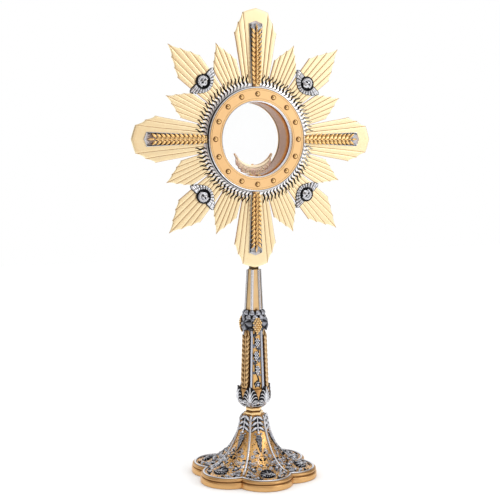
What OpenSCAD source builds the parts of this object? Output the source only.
// Six-lobed altar monstrance, millimetres, front towards -Y, standing on z = 0

/* [Foot] */
// Reach of a foot lobe from the stem axis
foot_lobe_r = 100; // [92:1:110]
// Reach of the notch between two lobes
foot_notch_r = 83; // [80:1:88]
// Height of the plain lower step of the rim
plinth_h = 10; // [6:0.5:14]
// Height of the rounded upper step of the rim
moulding_h = 5; // [4:0.5:8]
// Wall of the rim, measured inwards
rim_wall = 12; // [11:0.5:14]
// Inset of the silver edge band from the rim
band_inset = 4; // [3.5:0.25:5]
// Width of the silver edge band
band_w = 3; // [2:0.25:4]
// Height of the silver edge band
band_h = 1.6; // [1:0.2:2.4]
// Height of the flared dome
dome_h = 80.5; // [65:0.5:95]
// Corner radius of the dome at its top
dome_top_r = 21.5; // [20:0.5:24]
// Wall of the dome
dome_wall = 2; // [1.5:0.25:2.5]
// Thickness of the closing plate under the foot
base_plate_t = 2; // [1:0.5:3]

/* [Stem] */
// Radius of the lower collar ring
collar_r = 16; // [14:0.5:18]
// Height of the lower collar ring
collar_h = 6; // [4:0.5:9]
// Radius of the collar's upper part
collar_top_r = 13; // [11:0.5:13.5]
// Height of the collar's upper part
collar_top_h = 6.5; // [4:0.5:9]
// Largest radius of the cup
cup_r = 25; // [23:0.5:28]
// Height of the cup
cup_h = 30.5; // [26:0.5:38]
// Corner radius of the shaft at its foot
shaft_foot_r = 20; // [18.6:0.2:21.4]
// Corner radius of the shaft at its head
shaft_head_r = 15.6; // [14.5:0.2:17]
// Length of the six-sided shaft
shaft_h = 91.5; // [80:0.5:110]
// Radius of the round capital above the shaft
capital_r = 12.5; // [12:0.25:13.5]
// Height of the capital
capital_h = 32; // [28:0.5:38]
// Corner radius of the neck at its foot
neck_foot_r = 13.8; // [13.2:0.2:15.2]
// Corner radius of the neck at its head
neck_head_r = 10.2; // [10:0.2:12]
// Length of the six-sided neck
neck_h = 62.5; // [50:0.5:75]
// Bore of the hollow shaft and neck
stem_bore_r = 8; // [7:0.25:8.5]
// Radius of the tie rod
rod_r = 3; // [2.5:0.25:3.5]
// Width of the silver strips on the corners
edge_w = 2.2; // [1.6:0.2:3]
// Turn of foot and stem against the sunburst, as they were screwed together
stem_turn = 6; // [0:1:12]

/* [Glory] */
// Tip radius of the four upright and level rays
main_tip_r = 199.5; // [185:0.5:215]
// Half angle of the plain middle panel of those rays
main_panel_deg = 6.2; // [5.5:0.1:6.8]
// Tip radius of the four diagonal rays
diag_tip_r = 198; // [180:0.5:215]
// Radius lost by the first step of a diagonal ray
diag_step = 17; // [12:0.5:20]
// Tip radius of the eight side rays
side_tip_r = 157.5; // [145:0.5:170]
// Radius lost by the first step of a side ray
side_step = 12.5; // [8:0.5:15]
// Angle from a main ray to the side ray beside it
side_deg = 24.2; // [23.8:0.1:24.6]
// Angle of one pleat
pleat_deg = 3; // [2.8:0.05:3.1]
// Thickness of the rays
ray_t = 2; // [1.5:0.25:3]
// Depth of the pleat lines
pleat_depth = 0.7; // [0.4:0.1:1]
// Number of flames in one quarter of the ring
flame_count = 19; // [14:1:20]
// Tip radius of the flames
flame_tip_r = 97; // [92:0.5:102]
// Thickness of the flame ring
flame_t = 1.5; // [1:0.25:2]
// Outer end of the silver plates under the wheat
plate_tip_r = 178.5; // [165:0.5:182]
// Half width of those plates at the outer end
plate_half_w = 11; // [9:0.5:12.5]
// Thickness of those plates
plate_t = 1.5; // [1:0.25:2]
// Number of grain rows in a wheat ear
grain_rows = 9; // [7:1:11]
// Length of one grain
grain_l = 11; // [9:0.5:13]
// Radius of one grain
grain_r = 2.6; // [2:0.1:3]
// Distance of a cherub medallion from the centre
cherub_r = 121; // [115:0.5:127]
// Radius of a cherub medallion
medal_r = 10; // [8.5:0.5:11]
// Width of the post behind the lower ray
post_w = 12; // [10:0.5:15]
// Radius of the post's round tenon
tenon_r = 5; // [4.5:0.25:5.5]
// Length of that tenon
tenon_h = 11; // [9:0.5:13]

/* [Case] */
// Outer radius of the case drum
drum_r = 77.5; // [75:0.5:80]
// Wall of the case drum
drum_wall = 2.5; // [2:0.25:3]
// Depth of the drum behind the glory plane
drum_back = 31; // [28:0.5:36]
// Depth of the drum in front of the glory plane
drum_front = 11; // [10:0.5:13]
// Thickness of the front bezel
bezel_t = 4; // [3:0.25:5]
// Radius of the clear view through the case
view_r = 57; // [55:0.5:58]
// Number of studs on the bezel
stud_count = 16; // [12:1:20]
// Radius of a stud head
stud_r = 4; // [3:0.25:4.5]
// Thickness of both panes
pane_t = 2; // [1.5:0.25:2.5]
// Thickness of the rear door
door_t = 4; // [3.5:0.25:5]
// Radius of the hinge barrels
barrel_r = 2.4; // [2:0.1:2.8]
// Radius of the hinge pin
hinge_pin_r = 1.1; // [0.8:0.1:1.3]
// Length of the latch button from its screw
latch_l = 14; // [12:0.5:16]

/* [Host holder] */
// Radius of the host
host_r = 35; // [33:0.5:36]
// Drop of the host's centre below the centre of the case
host_drop = 6; // [4:0.5:7]
// Room for the thickness of the host
host_gap = 1.6; // [1:0.1:2]
// Thickness of the crescent and of its clip
crescent_t = 1.6; // [1.2:0.1:2]
// Width of the crescent at its middle
crescent_w = 3; // [2.6:0.2:4]
// Distance of the holder behind the glory plane
holder_y = 1; // [0:0.5:3]
// Height of the guide on the case floor
guide_h = 3.2; // [2.8:0.1:3.6]
// Width of the guide's slot at its top
slot_w = 8.4; // [7.4:0.2:9.4]

/* [Fits] */
// Clearance of a running pin, on the radius
pin_clear = 0.05; // [0.03:0.01:0.08]
// Clearance between parts set into each other
set_clear = 0.1; // [0.05:0.05:0.2]
// Clearance of the slider in its guide, on each side
slide_clear = 0.15; // [0.1:0.05:0.25]
// Distance of soldered ornament from its ground
solder_gap = 0.25; // [0.15:0.05:0.4]

/* [Hidden] */
$fn = 64;
gold = [0.83, 0.62, 0.27];
pale_gold = [0.95, 0.84, 0.55];
silver = [0.66, 0.67, 0.70];
steel = [0.55, 0.56, 0.58];
clear_glass = [0.80, 0.90, 0.95, 0.35];

// heights of the stacked parts
rim_h = plinth_h + moulding_h;
dome_top_z = rim_h + dome_h;
collar_top_z = dome_top_z + collar_h + collar_top_h;
cup_top_z = collar_top_z + cup_h;
shaft_top_z = cup_top_z + shaft_h;
capital_top_z = shaft_top_z + capital_h;
neck_top_z = capital_top_z + neck_h;
tip_gap = 1;
glory_z = neck_top_z + main_tip_r + tip_gap;

// lobe circles of the foot outline
lobe_rise = foot_lobe_r - foot_notch_r * cos(30);
lobe_r = (pow(foot_notch_r / 2, 2) + pow(lobe_rise, 2)) / (2 * lobe_rise);
lobe_at = foot_lobe_r - lobe_r;
function notch_r(inset) = lobe_at * cos(30) + sqrt(pow(lobe_r - inset, 2) - pow(lobe_at / 2, 2));
dome_inset = band_inset + band_w + set_clear;
dome_notch_r = notch_r(dome_inset);
dome_bulge = foot_lobe_r - dome_inset - dome_notch_r * cos(30);
top_bulge = 0.8;
top_plate_t = 3;

// surface of one dome panel: u runs -1 to 1 across it, h runs 0 to 1 up it
function flare(h) = 1 - pow(h, 0.6);
function rib_r(h) = dome_top_r + (dome_notch_r - dome_top_r) * pow(flare(h), 1.6);
function bulge(h) = top_bulge + (dome_bulge - top_bulge) * pow(flare(h), 2);
function panel_arc(h) = (pow(rib_r(h) / 2, 2) + pow(bulge(h), 2)) / (2 * bulge(h));
function panel_mid(h) = rib_r(h) * cos(30) + bulge(h) - panel_arc(h);
function panel_deg(h) = atan2(rib_r(h) / 2, rib_r(h) * cos(30) - panel_mid(h));
function panel_xy(u, h) = [panel_arc(h) * sin(u * panel_deg(h)),
    -panel_mid(h) - panel_arc(h) * cos(u * panel_deg(h)), rim_h + dome_h * h];
function unit(v) = v / norm(v);
function panel_normal(u, h) = unit(cross(panel_xy(u + 0.02, h) - panel_xy(u - 0.02, h),
    panel_xy(u, min(h + 0.01, 1)) - panel_xy(u, max(h - 0.01, 0))));
function panel_at(u, h, lift) = panel_xy(u, h) + lift * panel_normal(u, h);
// same surface seen round the whole dome, moved inwards along its slope
function slope_of(u, h) = unit(panel_xy(u, min(h + 0.005, 1)) - panel_xy(u, max(h - 0.005, 0)));
function turned(p, a) = [p[0] * cos(a) - p[1] * sin(a), p[0] * sin(a) + p[1] * cos(a), p[2]];
function shrunk(p, d, s) = let (run = norm([s[0], s[1]]))
    let (way = unit([p[0], p[1]]))
    [p[0] - way[0] * d * s[2], p[1] - way[1] * d * s[2], max(rim_h, p[2] - d * run)];

// cup outline, v runs 0 to 1 up the cup
function cup_at(v) = v < 0.55
    ? collar_top_r - 1 + (cup_r - collar_top_r + 1) * pow(sin(90 * v / 0.55), 0.7)
    : cup_r - 1.4 * pow((v - 0.55) / 0.45, 2);

// case sizes, measured forwards from the glory plane
ray_back = 4.5;
ray_front = ray_back + ray_t;
ray_in_r = drum_r + set_clear;
flange_inset = 1;
flange_r = flame_tip_r - flange_inset;
bezel_front = drum_front + bezel_t;
glass_back = 7.2;
rebate_r = view_r + 1.5;
lining_r = view_r + 3;
stud_ring_r = (rebate_r + drum_r) / 2 + 0.5;
door_gap = 0.3;
door_r = drum_r - 1.5;
door_front = -drum_back - door_gap;
door_back = door_front - door_t;
barrel_x = drum_r + barrel_r + door_gap;
barrel_y = drum_back + door_gap + door_t / 2;
knuckle_l = 5;
latch_x = drum_r + 6;
latch_y = drum_back + door_gap + door_t + door_gap;
latch_t = 2;
stem_tilt = atan((shaft_foot_r - shaft_head_r) * cos(30) / shaft_h);

// holder sizes
crescent_out_r = host_r + crescent_w / 2 - 1.4;
crescent_drop = host_r - 1.5 + crescent_w + 1.5 - crescent_out_r;
crescent_deg = 63;
stand_out_r = view_r - guide_h - 0.2;
clip_z = -(host_drop + host_r + crescent_w + 2.1);
clip_y = holder_y + 2 * crescent_t + host_gap + 0.6;
clip_barrel_r = 1.5;
clip_pin_r = 0.7;

// six-lobed outline of the foot, drawn in by an inset
module lobed_outline(inset) {
    circle(r = lobe_at * cos(30), $fn = 6);
    for (i = [0:5])
        rotate(60 * i)
            translate([0, lobe_at])
                circle(r = lobe_r - inset);
}

module lobed_ring(inset_out, inset_in, height) {
    linear_extrude(height)
        difference() {
            lobed_outline(inset_out);
            lobed_outline(inset_in);
        }
}

// closed tube of triangular section through stations of left, right and crest points
module crest_strip(stations) {
    n = len(stations);
    points = [for (s = stations) each s];
    sides = [for (i = [0:n - 2]) for (k = [0:2])
        let (a = 3 * i + k)
        let (b = 3 * i + (k + 1) % 3)
        each [[a, b, b + 3], [a, b + 3, a + 3]]];
    polyhedron(points, concat(sides, [[2, 1, 0]], [[3 * n - 3, 3 * n - 2, 3 * n - 1]]), convexity = 6);
}

// raised strip along a path of [u, h] places on a dome panel
module panel_strip(path, width, height) {
    n = len(path);
    crest_strip([for (i = [0:n - 1])
        let (p = path[i])
        let (ahead = path[min(i + 1, n - 1)])
        let (behind = path[max(i - 1, 0)])
        let (run = unit(panel_xy(ahead[0], ahead[1]) - panel_xy(behind[0], behind[1])))
        let (up = panel_normal(p[0], p[1]))
        let (side = unit(cross(run, up)))
        let (share = 0.35 + 0.65 * sin(180 * (i + 0.4) / (n - 0.2)))
        let (ground = panel_at(p[0], p[1], solder_gap + 0.15))
        let (half = side * width * share / 2)
        [ground - half, ground + half, ground + up * height * share]]);
}

// spiral on a dome panel, its size given in millimetres
module panel_scroll(u0, h0, radius, start, turn, hand, width) {
    steps = 6;
    across = radius / (panel_arc(h0) * panel_deg(h0) * PI / 180);
    along = radius / (norm(panel_xy(u0, h0 + 0.02) - panel_xy(u0, h0)) / 0.02);
    panel_strip([for (i = [0:steps])
        let (a = start + turn * i / steps)
        let (k = 1 - 0.72 * i / steps)
        [hand * (u0 + across * k * cos(a)), h0 + along * k * sin(a)]], width, 1.5);
}

module panel_bead(u, h, radius) {
    translate(panel_at(u, h, radius + solder_gap + 0.1))
        hull()
            sphere(r = radius, $fn = 5);
}

// pointed grain lying along +Y
module grain(length, radius) {
    hull() {
        rotate([-90, 0, 0])
            cylinder(h = length * 0.58, r1 = radius, r2 = 0, $fn = 4);
        rotate([90, 0, 0])
            cylinder(h = length * 0.42, r1 = radius, r2 = 0, $fn = 4);
    }
}

// ear of wheat along +Y standing on the plane z = 0
module ear(rows, length, girth, width, middle) {
    pitch = (length - grain_l) / rows;
    difference() {
        union() {
            hull() {
                translate([0, 1.2, 0])
                    cylinder(h = girth * 1.2, r = width * 0.28, $fn = 6);
                translate([0, length - grain_l, 0])
                    cylinder(h = girth * 0.8, r = width * 0.2, $fn = 6);
            }
            for (i = [0:rows - 1])
                let (grow = min(1, 0.72 + 0.08 * i))
                translate([0, pitch * i + grain_l / 2, 0]) {
                    for (s = [-1, 1])
                        translate([s * width * 0.3 * grow, 0, girth * 0.55])
                            rotate(-s * 17)
                                grain(grain_l * grow, girth * grow);
                    if (middle)
                        translate([0, pitch / 2, girth * 1.05])
                            grain(grain_l * grow, girth * grow);
                }
        }
        translate([-width, -length, -20])
            cube([2 * width, 3 * length, 20]);
    }
}

module berries(rows, size) {
    for (i = [0:len(rows) - 1])
        for (k = [0:rows[i] - 1])
            translate([(k - (rows[i] - 1) / 2) * size * 1.75, -i * size * 1.55, size * 0.5])
                hull()
                    sphere(r = size, $fn = 5);
}

// turn of everything below the sunburst
module on_stem() {
    rotate(-stem_turn)
        children();
}

// glory plane: x to the right, y up, z towards the front
module glory() {
    translate([0, 0, glory_z])
        rotate([90, 0, 0])
            children();
}

// face of the six-sided shaft: y runs up the face, z points outwards
module shaft_face(az) {
    rotate(az)
        translate([0, -shaft_foot_r * cos(30), cup_top_z])
            rotate([90 - stem_tilt, 0, 0])
                children();
}

// corner strip of a tapering six-sided part
module corner_strip(z0, r0, z1, r1) {
    outline = [[0.15, 0], [0.15 - edge_w / 2, edge_w * cos(30)], [1.15 - edge_w / 2, edge_w * cos(30) + 0.3],
        [1.5, 0.45], [1.5, -0.45], [1.15 - edge_w / 2, -edge_w * cos(30) - 0.3],
        [0.15 - edge_w / 2, -edge_w * cos(30)]];
    n = len(outline);
    points = concat([for (p = outline) [r0 + p[0], p[1], z0]], [for (p = outline) [r1 + p[0], p[1], z1]]);
    sides = [for (i = [0:n - 1]) [i, i + n, (i + 1) % n + n, (i + 1) % n]];
    polyhedron(points, concat(sides, [[for (i = [0:n - 1]) i]], [[for (i = [n - 1:-1:0]) i + n]]));
}

// steps of a ray: angle and radius of each ridge from the tip outwards
main_steps = concat([[0, main_tip_r]], [for (i = [0:2])
    [main_panel_deg + pleat_deg * i, main_tip_r - 7.5 - 14 * i]]);
diag_steps = [for (i = [0:3]) [pleat_deg * i, diag_tip_r - diag_step * pow(i, 0.85)]];
side_steps = [for (i = [0:3]) [pleat_deg * i, side_tip_r - side_step * pow(i, 0.87)]];

// scalloped half outline, from the tip to the side
function scallop(steps) = [for (i = [0:len(steps) - 2]) for (k = [0:3])
    let (t = 1 - k / 4)
    let (a = steps[i + 1][0] + (steps[i][0] - steps[i + 1][0]) * t)
    let (r = steps[i + 1][1] + (steps[i][1] - steps[i + 1][1]) * pow(t, i == 0 && steps[1][0] > 4 ? 1 : 1.8))
    [r * sin(a), r * cos(a)]];

module ray(steps, turn) {
    last = steps[len(steps) - 1];
    half = concat(scallop(steps), [[last[1] * sin(last[0]), last[1] * cos(last[0])]],
        [[ray_in_r * sin(last[0]), ray_in_r * cos(last[0])]]);
    mirrored = [for (i = [len(half) - 1:-1:1]) [-half[i][0], half[i][1]]];
    color(pale_gold)
        glory()
            rotate(turn)
                difference() {
                    translate([0, 0, ray_back])
                        linear_extrude(ray_t)
                            difference() {
                                polygon(concat(half, mirrored));
                                circle(r = ray_in_r);
                            }
                    for (i = [0:len(steps) - 2])
                        for (s = i == 0 ? [1] : [-1, 1])
                            if (i > 0 || steps[1][0] < 4)
                                rotate(s * steps[i][0])
                                    translate([0, ray_in_r + 8, ray_front])
                                        rotate([-90, 0, 0])
                                            linear_extrude(main_tip_r)
                                                polygon([[-0.7, -0.1], [0.7, -0.1], [0, pleat_depth]]);
                }
}

module side_pair(turn) {
    ray(side_steps, turn + side_deg);
    ray(side_steps, turn + 90 - side_deg);
}

module foot_rim() {
    color(gold) {
        lobed_ring(0, rim_wall - 2, plinth_h - 1);
        translate([0, 0, plinth_h - 1])
            lobed_ring(2.4, rim_wall, 1.4);
        translate([0, 0, plinth_h + 0.4])
            lobed_ring(1, rim_wall, moulding_h - 1.4);
        translate([0, 0, rim_h - 1])
            lobed_ring(2, rim_wall, 1);
    }
}

module foot_edge_band() {
    color(silver)
        translate([0, 0, rim_h])
            lobed_ring(band_inset, band_inset + band_w, band_h);
}

module foot_dome() {
    across = 6;
    rows = 8;
    ring = 6 * across;
    function row_h(j) = pow(j / rows, 1.7);
    outer = [for (j = [0:rows]) for (i = [0:ring - 1])
        turned(panel_xy(2 * (i % across) / across - 1, row_h(j)), 60 * floor(i / across))];
    inner = [for (j = [0:rows]) for (i = [0:ring - 1])
        let (u = 2 * (i % across) / across - 1)
        let (p = shrunk(panel_xy(u, row_h(j)), dome_wall, slope_of(u, row_h(j))))
        turned([p[0], p[1], j == 0 ? rim_h : min(p[2], dome_top_z - top_plate_t)], 60 * floor(i / across))];
    base = len(outer);
    tops = [[0, 0, dome_top_z], [0, 0, dome_top_z - top_plate_t]];
    walls = [for (j = [0:rows - 1]) for (i = [0:ring - 1])
        let (a = j * ring + i)
        let (b = j * ring + (i + 1) % ring)
        each [[a, b + ring, b], [a, a + ring, b + ring], [base + a, base + b, base + b + ring],
            [base + a, base + b + ring, base + a + ring]]];
    ends = [for (i = [0:ring - 1])
        let (k = (i + 1) % ring)
        each [[i, k, base + k], [i, base + k, base + i], [rows * ring + i, 2 * base, rows * ring + k],
            [base + rows * ring + k, 2 * base + 1, base + rows * ring + i]]];
    color(gold)
        difference() {
            polyhedron(concat(outer, inner, tops), concat(walls, ends), convexity = 8);
            translate([0, 0, rim_h])
                cylinder(h = dome_h + 1, r = rod_r + 0.3);
        }
}

module foot_ribs() {
    rows = 8;
    section = [[0.3, 0], [1.5, 1.3], [2.5, 0], [1.5, -1.3]];
    color(silver)
        for (az = [30:60:330])
            rotate(az - 90) {
                points = [for (j = [0:rows])
                    let (h = 0.004 + 0.984 * pow(j / rows, 1.7))
                    let (run = unit([rib_r(h + 0.004) - rib_r(h - 0.004), 0.008 * dome_h]))
                    let (z = rim_h + dome_h * h)
                    each [for (p = section) [rib_r(h) + p[0] * run[1], p[1], z - p[0] * run[0]]]];
                sides = [for (j = [0:rows - 1]) for (k = [0:3])
                    let (a = 4 * j + k)
                    let (b = 4 * j + (k + 1) % 4)
                    each [[a, b + 4, b], [a, a + 4, b + 4]]];
                polyhedron(points, concat(sides, [[0, 1, 2, 3]],
                    [[4 * rows + 3, 4 * rows + 2, 4 * rows + 1, 4 * rows]]), convexity = 4);
            }
}

module foot_palmettes() {
    color(silver)
        for (az = [0:60:300])
            rotate(az) {
                panel_strip([[0, 0.98], [0, 0.82], [0, 0.66]], 2.4, 1.8);
                for (i = [0:2])
                    for (s = [-1, 1])
                        panel_strip([for (k = [0:2])
                            [s * (0.03 + 0.3 * k), 0.95 - 0.11 * i - 0.012 * k - 0.022 * k * k]], 4.6, 1.6);
                panel_bead(0, 0.965, 1.2);
                panel_bead(0, 0.66, 1.5);
            }
}

module foot_filigree() {
    color(silver)
        for (az = [0:60:300])
            rotate(az) {
                panel_strip([[0, 0.62], [0, 0.53], [0, 0.42]], 5, 2.2);
                for (row = [0:1])
                    for (k = [0:1 - row])
                        panel_bead((k - (1 - row) / 2) * 0.26, 0.55 - 0.06 * row, 1.9);
                for (s = [-1, 1]) {
                    panel_scroll(0.42, 0.24, 7.5, 150, 480, s, 2);
                    panel_scroll(0.42, 0.06, 11, 150, 480, s, 2.4);
                    panel_strip([[s * 0.03, 0.02], [s * 0.16, 0.06], [s * 0.1, 0.15], [s * 0.12, 0.3],
                        [s * 0.02, 0.38]], 2, 1.5);
                    panel_bead(s * 0.74, 0.09, 1.6);
                }
                panel_strip([[0, 0.008], [0, 0.03], [0, 0.06]], 5, 1.8);
            }
}

module base_plate() {
    color(steel)
        translate([0, 0, 1])
            linear_extrude(base_plate_t)
                lobed_outline(rim_wall - 2 + set_clear);
}

module tie_rod() {
    color(steel)
        translate([0, 0, dome_top_z - top_plate_t - 14])
            cylinder(h = neck_top_z - dome_top_z + top_plate_t + 26, r = rod_r);
}

module tie_nut() {
    color(steel)
        translate([0, 0, dome_top_z - top_plate_t - 8])
            difference() {
                union() {
                    cylinder(h = 6.5, r = rod_r * 1.95, $fn = 6);
                    translate([0, 0, 6.4])
                        cylinder(h = 1.6, r = rod_r * 3);
                }
                translate([0, 0, -1])
                    cylinder(h = 12, r = rod_r + pin_clear);
            }
}

module collar() {
    color(gold)
        translate([0, 0, dome_top_z])
            difference() {
                union() {
                    cylinder(h = collar_h, r = collar_r);
                    cylinder(h = collar_h + collar_top_h, r = collar_top_r);
                }
                translate([0, 0, -1])
                    cylinder(h = collar_h + collar_top_h + 2, r = stem_bore_r);
            }
}

module cup() {
    wall = 2.5;
    outside = [for (i = [0:11]) [cup_at(i / 11), cup_h * i / 11]];
    inside = [for (i = [11:-1:2]) [cup_at(i / 11) - wall, min(cup_h * i / 11, cup_h - wall)]];
    color(gold)
        translate([0, 0, collar_top_z])
            rotate_extrude()
                polygon(concat(outside, [[rod_r + 0.4, cup_h]], [[rod_r + 0.4, cup_h - wall]], inside,
                    [[stem_bore_r, cup_h * 2 / 11]], [[stem_bore_r, 0]]));
}

module cup_leaves() {
    across = 4;
    rows = 7;
    function half_deg(v) = (11 + 12 * sin(180 * min(v, 0.98))) * (1 + 0.14 * cos(1080 * v))
        * (v > 0.93 ? 0.25 : 1);
    function leaf_r(v) = cup_at(min(v, 1)) + (v > 0.9 ? 14 * (v - 0.9) : 0);
    function place(i, v, lift) = let (a = half_deg(v) * (2 * i / across - 1))
        [(leaf_r(v) + lift) * sin(a), -(leaf_r(v) + lift) * cos(a), collar_top_z + cup_h * v];
    heights = [for (j = [0:rows]) 0.06 + 1.06 * j / rows];
    wide = across + 1;
    under = [for (v = heights) for (i = [0:across]) place(i, v, solder_gap + 0.1)];
    over = [for (v = heights) for (i = [0:across])
        place(i, v, solder_gap + 1.2 + (i == 2 ? 0.9 : 0) + (i % 2 == 1 ? 0.5 : 0))];
    base = len(under);
    faces = [for (j = [0:rows - 1]) for (i = [0:across - 1])
        let (a = j * wide + i)
        let (b = base + a)
        each [[a, a + 1, a + wide + 1], [a, a + wide + 1, a + wide], [b, b + wide + 1, b + 1],
            [b, b + wide, b + wide + 1]]];
    left = [for (j = [0:rows - 1]) let (a = j * wide)
        each [[a, a + wide, base + a + wide], [a, base + a + wide, base + a]]];
    right = [for (j = [0:rows - 1]) let (a = j * wide + across)
        each [[a, base + a + wide, a + wide], [a, base + a, base + a + wide]]];
    low = [for (i = [0:across - 1]) each [[i, base + i + 1, i + 1], [i, base + i, base + i + 1]]];
    high = [for (i = [0:across - 1]) let (a = rows * wide + i)
        each [[a, a + 1, base + a + 1], [a, base + a + 1, base + a]]];
    color(silver)
        for (az = [30:60:330])
            rotate(az)
                polyhedron(concat(under, over), concat(faces, left, right, low, high), convexity = 8);
}

module shaft() {
    color(gold)
        difference() {
            union() {
                translate([0, 0, cup_top_z])
                    cylinder(h = shaft_h, r1 = shaft_foot_r, r2 = shaft_head_r, $fn = 6);
                translate([0, 0, shaft_top_z - 0.5])
                    cylinder(h = capital_h + 0.5, r = capital_r);
            }
            translate([0, 0, cup_top_z - 1])
                cylinder(h = shaft_h + capital_h + 2, r = stem_bore_r);
        }
}

module shaft_edges() {
    color(silver)
        for (a = [0:60:300])
            rotate(a)
                corner_strip(cup_top_z + 0.1, shaft_foot_r, shaft_top_z, shaft_head_r);
}

module shaft_wheat() {
    color(gold)
        for (az = [60:120:300])
            shaft_face(az)
                for (s = [-1, 1])
                    translate([s * 4.1, 1.5, solder_gap])
                        rotate(s * 0.7)
                            scale([1, 1, 1.7])
                                ear(7, shaft_h - 3, 1.6, 3.8, false);
}

module shaft_vines() {
    color(silver)
        for (az = [0:120:240])
            shaft_face(az)
                difference() {
                    union() {
                        for (i = [0:7])
                            hull()
                                for (k = [i, i + 1])
                                    translate([3.2 * sin(k * 90), 3 + k * (shaft_h - 8) / 8, 0.8])
                                        cube([1.4, 1.4, 1.6], center = true);
                        for (i = [0:3])
                            translate([(i % 2 == 0 ? 2 : -2), 15 + i * 21, 1.4])
                                berries([2, 1], 1.9);
                        for (i = [0:3])
                            translate([(i % 2 == 0 ? -3 : 3), 11 + i * 21, 0.2])
                                hull() {
                                    cylinder(h = 1.6, r = 2.3, $fn = 5);
                                    translate([0, -3.6, 0])
                                        cylinder(h = 0.8, r = 0.6, $fn = 3);
                                }
                    }
                    translate([-20, -20, solder_gap - 20])
                        cube([40, shaft_h + 40, 20]);
                }
}

module capital_leaves() {
    color(silver)
        difference() {
            union() {
                for (az = [15:30:345])
                    rotate(az)
                        hull() {
                            translate([0, -capital_r - 2.6, capital_top_z - 5])
                                sphere(r = 3.8, $fn = 6);
                            translate([0, -capital_r - 1, capital_top_z - 9.6])
                                sphere(r = 2.2, $fn = 6);
                        }
                for (az = [60:120:300])
                    rotate(az)
                        for (lobe = [[0, 4], [-7, 11], [7, 11], [-6, 19], [6, 19]])
                            hull() {
                                out = capital_r + 7.6 - 0.06 * lobe[0] * lobe[0];
                                translate([0, -capital_r - 3, shaft_top_z + 16])
                                    sphere(r = 2.4, $fn = 6);
                                translate([lobe[0], -out, shaft_top_z + lobe[1]])
                                    sphere(r = 2.6, $fn = 6);
                            }
            }
            translate([0, 0, shaft_top_z - 6])
                cylinder(h = capital_h + 12, r = capital_r + solder_gap, $fn = 36);
            translate([0, 0, shaft_top_z - 20])
                cylinder(h = 20, r = 26, $fn = 12);
            translate([0, 0, capital_top_z - 0.2])
                cylinder(h = 10, r = 26, $fn = 12);
        }
}

module capital_grapes() {
    counts = [3, 4, 3, 2, 1];
    color(gold)
        difference() {
            union()
                for (az = [0:120:240])
                    rotate(az)
                        for (i = [0:4])
                            for (k = [0:counts[i] - 1])
                                translate([(k - (counts[i] - 1) / 2) * 4.3, -20.8 + 0.33 * pow(4 - i, 2),
                                    shaft_top_z + 16 - 4.3 * i])
                                    hull()
                                        sphere(r = 2.9, $fn = 5);
            translate([0, 0, shaft_top_z - 2])
                cylinder(h = capital_h, r = capital_r + solder_gap, $fn = 36);
        }
}

module neck() {
    color(gold)
        difference() {
            translate([0, 0, capital_top_z])
                cylinder(h = neck_h, r1 = neck_foot_r, r2 = neck_head_r, $fn = 6);
            translate([0, 0, capital_top_z - 1])
                cylinder(h = neck_h - tenon_h - 3, r = stem_bore_r);
            translate([0, 0, capital_top_z])
                cylinder(h = neck_h + 1, r = tenon_r + set_clear);
        }
}

module neck_edges() {
    color(silver)
        for (a = [0:60:300])
            rotate(a)
                corner_strip(capital_top_z + 0.1, neck_foot_r, neck_top_z - 0.1, neck_head_r);
}

module glory_post() {
    color(gold)
        difference() {
            union() {
                translate([-post_w / 2, -ray_back, neck_top_z])
                    cube([post_w, ray_back + 5, glory_z - drum_r - neck_top_z + 4]);
                translate([0, 0, neck_top_z - tenon_h])
                    cylinder(h = tenon_h + 1, r = tenon_r);
            }
            translate([0, 0, neck_top_z - tenon_h - 1])
                cylinder(h = tenon_h + 15, r = rod_r + pin_clear);
            glory()
                translate([0, 0, -20])
                    cylinder(h = 40, r = drum_r + set_clear);
            glory()
                translate([0, 0, ray_back - 2 - set_clear])
                    cylinder(h = 10, r = flange_r + set_clear);
        }
}

module ray_north() {
    ray(main_steps, 0);
}

module ray_west() {
    ray(main_steps, 90);
}

module ray_south() {
    ray(main_steps, 180);
}

module ray_east() {
    ray(main_steps, 270);
}

module ray_northwest() {
    ray(diag_steps, 45);
}

module ray_southwest() {
    ray(diag_steps, 135);
}

module ray_southeast() {
    ray(diag_steps, 225);
}

module ray_northeast() {
    ray(diag_steps, 315);
}

module side_rays_northwest() {
    side_pair(0);
}

module side_rays_southwest() {
    side_pair(90);
}

module side_rays_southeast() {
    side_pair(180);
}

module side_rays_northeast() {
    side_pair(270);
}

// outline of one waved tongue, right side up and left side down again
flame_steps = 5;
function flame_half(t) = 2 * pow(1 - t, 0.8);
function flame_side(reach, t, s) = [1.5 * sin(330 * t) + s * flame_half(t),
    ray_in_r + 3.4 + (reach - ray_in_r - 3.4) * t];
function flame(reach) = concat([for (i = [0:flame_steps]) flame_side(reach, i / flame_steps, 1)],
    [for (i = [flame_steps - 1:-1:0]) flame_side(reach, i / flame_steps, -1)]);
function flat_turn(p, a) = [p[0] * cos(a) - p[1] * sin(a), p[0] * sin(a) + p[1] * cos(a)];

module flame_ring() {
    outline = [for (q = [0:3]) for (i = [0:flame_count - 1])
        let (a = 90 * q + 8.5 + 73 * i / (flame_count - 1))
        each [for (p = flame(flame_tip_r - (i % 2) * 3)) flat_turn(p, a)]];
    color(silver)
        glory()
            translate([0, 0, ray_front])
                linear_extrude(flame_t)
                    difference() {
                        polygon(outline);
                        circle(r = ray_in_r);
                    }
}

module wheat_plates() {
    low = ray_in_r + 3.6;
    color(silver)
        glory()
            for (q = [0:3])
                rotate(90 * q)
                    translate([0, 0, ray_front])
                        linear_extrude(plate_t)
                            polygon([[0, plate_tip_r], [-plate_half_w, plate_tip_r - 4.2],
                                [-plate_half_w * 0.62, low], [plate_half_w * 0.62, low],
                                [plate_half_w, plate_tip_r - 4.2]]);
}

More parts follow.
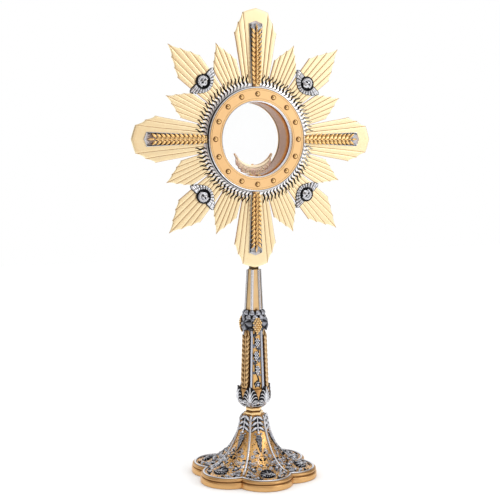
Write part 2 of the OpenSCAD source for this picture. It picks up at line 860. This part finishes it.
module glory_ear(turn) {
    color(gold)
        glory()
            rotate(turn)
                translate([0, ray_in_r + 3, ray_front + plate_t])
                    ear(grain_rows, plate_tip_r - ray_in_r - 14, grain_r, 8.6, true);
}

module wheat_north() {
    glory_ear(0);
}

module wheat_west() {
    glory_ear(90);
}

module wheat_south() {
    glory_ear(180);
}

module wheat_east() {
    glory_ear(270);
}

// wing outline, one rounded tip for each feather
function wing_2d(count, reach, less, first, fan) = concat([[-1, 2.5]], [for (i = [0:count - 1])
    let (r = reach - less * i)
    let (a = first - fan * i)
    each [for (p = [[1, 0.3], [1.06, 0], [1, -0.3], [0.8, -0.5]])
        r * p[0] * [cos(a + fan * p[1]), sin(a + fan * p[1])]]], [[-1, -3]]);

module wing() {
    translate([medal_r * 0.5, -medal_r * 0.45]) {
        linear_extrude(1.4)
            polygon(wing_2d(5, 21, 2.6, 12, 22));
        linear_extrude(2.6)
            polygon(wing_2d(3, 13, 1.6, 2, 26));
    }
}

module cherub(turn) {
    color(silver)
        glory()
            rotate(turn)
                translate([0, cherub_r, ray_front]) {
                    wing();
                    mirror([1, 0, 0])
                        wing();
                    cylinder(h = 1.8, r = medal_r);
                    difference() {
                        cylinder(h = 3, r = medal_r);
                        translate([0, 0, 1])
                            cylinder(h = 3, r = medal_r - 1.2);
                    }
                    intersection() {
                        translate([0, -0.4, 2])
                            sphere(r = medal_r * 0.66);
                        cylinder(h = 20, r = medal_r - 1.5);
                    }
                }
}

module cherub_northwest() {
    cherub(45);
}

module cherub_southwest() {
    cherub(135);
}

module cherub_southeast() {
    cherub(225);
}

module cherub_northeast() {
    cherub(315);
}

module case_drum() {
    inside = drum_r - drum_wall;
    color(silver)
        glory()
            difference() {
                union() {
                    difference() {
                        translate([0, 0, -drum_back])
                            cylinder(h = drum_back + drum_front, r = drum_r);
                        translate([0, 0, -drum_back + 2.5])
                            cylinder(h = drum_back + drum_front - 5, r = inside);
                        translate([0, 0, -drum_back - 1])
                            cylinder(h = drum_back + drum_front + 2, r = lining_r + set_clear);
                    }
                    translate([0, 0, ray_back - 2])
                        difference() {
                            cylinder(h = 2, r = flange_r);
                            translate([0, 0, -1])
                                cylinder(h = 4, r = drum_r - 1);
                        }
                    difference() {
                        union() {
                            for (s = [-1, 1])
                                translate([-barrel_x, s * (knuckle_l * 1.5 + 0.3), -barrel_y])
                                    rotate([90, 0, 0])
                                        cylinder(h = knuckle_l, r = barrel_r, center = true);
                            for (s = [-1, 1])
                                translate([-barrel_x - barrel_r, s * (knuckle_l * 1.5 + 0.3), -barrel_y])
                                    translate([0, -knuckle_l / 2, 0])
                                        cube([barrel_r, knuckle_l, 14]);
                            translate([-barrel_x - barrel_r, -knuckle_l * 2 - 0.3, -drum_back + 3])
                                cube([barrel_r * 2 + 2, knuckle_l * 4 + 0.6, 11]);
                            translate([drum_r - 2, -5, -drum_back])
                                cube([latch_x - drum_r + 7, 10, 10]);
                        }
                        translate([0, 0, -drum_back - 20])
                            cylinder(h = 60, r = drum_r - 0.6);
                        translate([-barrel_x, -20, -barrel_y])
                            rotate([-90, 0, 0])
                                cylinder(h = 40, r = hinge_pin_r + pin_clear);
                        translate([latch_x, 0, -drum_back - 1])
                            cylinder(h = 9, r = 1.5 + pin_clear);
                    }
                }
                for (i = [0:stud_count - 1])
                    rotate(360 * i / stud_count)
                        translate([0, stud_ring_r, drum_front - 2])
                            cylinder(h = 4, r = 1.2 + pin_clear);
            }
}

module case_lining() {
    color(gold)
        glory()
            rotate_extrude()
                polygon([[view_r, -drum_back], [lining_r, -drum_back], [lining_r, drum_front],
                    [rebate_r, drum_front], [rebate_r, glass_back], [view_r, glass_back]]);
}

module front_bezel() {
    color(gold)
        glory()
            difference() {
                translate([0, 0, drum_front])
                    cylinder(h = bezel_t, r = drum_r - set_clear);
                cylinder(h = 40, r = rebate_r);
                for (i = [0:stud_count - 1])
                    rotate(360 * i / stud_count)
                        translate([0, stud_ring_r, 0])
                            cylinder(h = 40, r = 1.2 + pin_clear);
            }
}

module bezel_rim() {
    color(silver)
        glory()
            translate([0, 0, ray_front + flame_t])
                difference() {
                    cylinder(h = bezel_front - ray_front - flame_t - 0.4, r = drum_r + 2);
                    translate([0, 0, -1])
                        cylinder(h = 20, r = drum_r + set_clear);
                }
}

module bezel_studs() {
    color(gold)
        glory()
            for (i = [0:stud_count - 1])
                rotate(360 * i / stud_count)
                    translate([0, stud_ring_r, 0]) {
                        translate([0, 0, drum_front - 1.8])
                            cylinder(h = bezel_t + 2, r = 1.2);
                        intersection() {
                            translate([0, 0, bezel_front - stud_r * 0.6])
                                sphere(r = stud_r * 1.166);
                            translate([0, 0, bezel_front])
                                cylinder(h = 10, r = stud_r * 2);
                        }
                    }
}

module front_glass() {
    color(clear_glass)
        glory()
            translate([0, 0, glass_back])
                cylinder(h = pane_t, r = rebate_r - set_clear);
}

module glass_ring() {
    color(silver)
        glory()
            translate([0, 0, glass_back + pane_t])
                difference() {
                    cylinder(h = bezel_front - glass_back - pane_t - 0.8, r = rebate_r - set_clear);
                    translate([0, 0, -1])
                        cylinder(h = 20, r = view_r - 0.3);
                }
}

module hinge_pin() {
    color(steel)
        glory()
            translate([-barrel_x, -knuckle_l * 2 - 0.6, -barrel_y])
                rotate([-90, 0, 0])
                    cylinder(h = knuckle_l * 4 + 1.2, r = hinge_pin_r);
}

module rear_door() {
    color(gold)
        glory()
            difference() {
                union() {
                    translate([0, 0, door_back])
                        cylinder(h = door_t, r = door_r);
                    translate([-barrel_x, 0, -barrel_y])
                        rotate([90, 0, 0])
                            cylinder(h = knuckle_l * 2 - 0.4, r = barrel_r, center = true);
                    translate([-barrel_x, -knuckle_l + 0.2, door_back + 0.8])
                        cube([barrel_x - door_r + 3, knuckle_l * 2 - 0.4, door_t - 1.6]);
                    translate([door_r - 9, 0, door_back - 3])
                        cylinder(h = 4, r = 1.6);
                    translate([door_r - 9, 0, door_back - 6.5])
                        sphere(r = 4);
                }
                translate([0, 0, door_back - 1])
                    cylinder(h = door_t + 2, r = view_r - 0.5);
                translate([0, 0, door_front - pane_t - 0.2])
                    cylinder(h = door_t, r = rebate_r + 0.5);
                translate([-barrel_x, -20, -barrel_y])
                    rotate([-90, 0, 0])
                        cylinder(h = 40, r = hinge_pin_r + pin_clear);
            }
}

module rear_glass() {
    color(clear_glass)
        glory()
            translate([0, 0, door_front - pane_t - 0.2])
                cylinder(h = pane_t, r = rebate_r + 0.5 - set_clear);
}

module latch_screw() {
    color(steel)
        glory()
            translate([latch_x, 0, 0]) {
                translate([0, 0, -latch_y - latch_t - 0.2])
                    cylinder(h = latch_y + latch_t + 0.2 - drum_back + 7, r = 1.5);
                translate([0, 0, -latch_y - latch_t - 2])
                    cylinder(h = 1.8, r = 3);
            }
}

module latch_button() {
    color(gold)
        glory()
            translate([latch_x, 0, -latch_y])
                difference() {
                    union() {
                        translate([0, 0, -latch_t])
                            linear_extrude(latch_t) {
                                circle(r = 3.4);
                                translate([-2.4, 0])
                                    square([4.8, latch_l - 2.4]);
                                translate([0, latch_l - 2.4])
                                    circle(r = 2.4);
                            }
                        cylinder(h = latch_y - drum_back - 0.2, r = 3.2);
                    }
                    translate([0, 0, -10])
                        cylinder(h = 20, r = 1.5 + pin_clear);
                }
}

// dovetail outline of the guide's slot, drawn in by a clearance for the slider
module dovetail(top, clear) {
    half = slot_w / 2 - clear;
    polygon([[-half, top + 0.6], [half, top + 0.6], [half, top], [half + 1, top - 2 + clear],
        [-half - 1, top - 2 + clear], [-half, top]]);
}

module lunette_guide() {
    top = -view_r + guide_h;
    color(gold)
        glory()
            intersection() {
                translate([0, 0, -drum_back + 3])
                    linear_extrude(drum_back + 3)
                        difference() {
                            translate([-9, -view_r - 1])
                                square([18, guide_h + 1]);
                            dovetail(top, 0);
                        }
                translate([0, 0, -drum_back])
                    cylinder(h = drum_back * 2, r = view_r - set_clear, $fn = 240);
            }
}

// crescent outline round the host, open at the top
module crescent_2d(in_r, out_r) {
    translate([0, -host_drop])
        intersection() {
            difference() {
                translate([0, -crescent_drop])
                    circle(r = out_r);
                circle(r = in_r);
            }
            polygon([[0, 0], [-90 * sin(crescent_deg), -90 * cos(crescent_deg)], [0, -180],
                [90 * sin(crescent_deg), -90 * cos(crescent_deg)]]);
        }
}

module lunette_stand() {
    top = -view_r + guide_h;
    lug_x = 4.8;
    color(pale_gold)
        glory() {
            translate([0, 0, -holder_y - 2.4])
                linear_extrude(2.4)
                    difference() {
                        intersection() {
                            circle(r = stand_out_r);
                            polygon([[0, 20], [-50, -75], [0, -180], [50, -75]]);
                        }
                        translate([0, -host_drop - crescent_drop])
                            circle(r = crescent_out_r + 0.05);
                        for (a = [-25, -13, 13, 25])
                            rotate(a)
                                translate([0, -(host_drop + host_r + crescent_w + stand_out_r) / 2 - 0.4])
                                    circle(r = 2.6);
                    }
            translate([0, 0, -holder_y - 8])
                linear_extrude(10)
                    dovetail(top, slide_clear);
            translate([-4, top + 0.2, -holder_y - 2.4])
                cube([8, 2, 2.4]);
            for (s = [-1, 1])
                translate([s * lug_x - 1.4, clip_z - clip_barrel_r, -clip_y])
                    cube([2.8, clip_barrel_r * 2, clip_y - holder_y - 1]);
            for (s = [-1, 1])
                translate([s * lug_x, clip_z, -clip_y])
                    rotate([0, 90, 0])
                        cylinder(h = 2.8, r = clip_barrel_r, center = true);
            translate([0, clip_z, -clip_y])
                rotate([0, 90, 0])
                    cylinder(h = 2 * lug_x, r = clip_pin_r, center = true);
        }
}

module lunette_crescent() {
    color(pale_gold)
        glory() {
            translate([0, 0, -holder_y - crescent_t])
                linear_extrude(crescent_t)
                    crescent_2d(host_r - 1.5, crescent_out_r);
            translate([0, 0, -holder_y - crescent_t - host_gap])
                linear_extrude(host_gap + 0.2)
                    intersection() {
                        crescent_2d(host_r + 0.2, crescent_out_r - 0.3);
                        translate([0, -host_drop])
                            circle(r = host_r + 1.6);
                    }
        }
}

module clip_leaf() {
    back = holder_y + crescent_t + host_gap + 0.1;
    color(pale_gold)
        glory()
            difference() {
                union() {
                    translate([0, 0, -back - crescent_t])
                        linear_extrude(crescent_t)
                            crescent_2d(host_r - 1.5, crescent_out_r - 0.8);
                    translate([-3, clip_z, -clip_y - 0.8])
                        cube([6, 5, 1.6]);
                    translate([0, clip_z, -clip_y])
                        rotate([0, 90, 0])
                            cylinder(h = 6, r = clip_barrel_r, center = true);
                    translate([-1.5, -host_drop - host_r - 1, -back - crescent_t - 1])
                        cube([3, 4.2, crescent_t + 1]);
                }
                translate([0, clip_z, -clip_y])
                    rotate([0, 90, 0])
                        cylinder(h = 40, r = clip_pin_r + pin_clear, center = true);
            }
}

on_stem() foot_rim();
on_stem() foot_edge_band();
on_stem() foot_dome();
on_stem() foot_ribs();
on_stem() foot_palmettes();
on_stem() foot_filigree();
on_stem() base_plate();
on_stem() tie_rod();
on_stem() tie_nut();
on_stem() collar();
on_stem() cup();
on_stem() cup_leaves();
on_stem() shaft();
on_stem() shaft_edges();
on_stem() shaft_wheat();
on_stem() shaft_vines();
on_stem() capital_leaves();
on_stem() capital_grapes();
on_stem() neck();
on_stem() neck_edges();
glory_post();
ray_north();
ray_west();
ray_south();
ray_east();
ray_northwest();
ray_southwest();
ray_southeast();
ray_northeast();
side_rays_northwest();
side_rays_southwest();
side_rays_southeast();
side_rays_northeast();
flame_ring();
wheat_plates();
wheat_north();
wheat_west();
wheat_south();
wheat_east();
cherub_northwest();
cherub_southwest();
cherub_southeast();
cherub_northeast();
case_drum();
case_lining();
front_bezel();
bezel_rim();
bezel_studs();
front_glass();
glass_ring();
hinge_pin();
rear_door();
rear_glass();
latch_screw();
latch_button();
lunette_guide();
lunette_stand();
lunette_crescent();
clip_leaf();
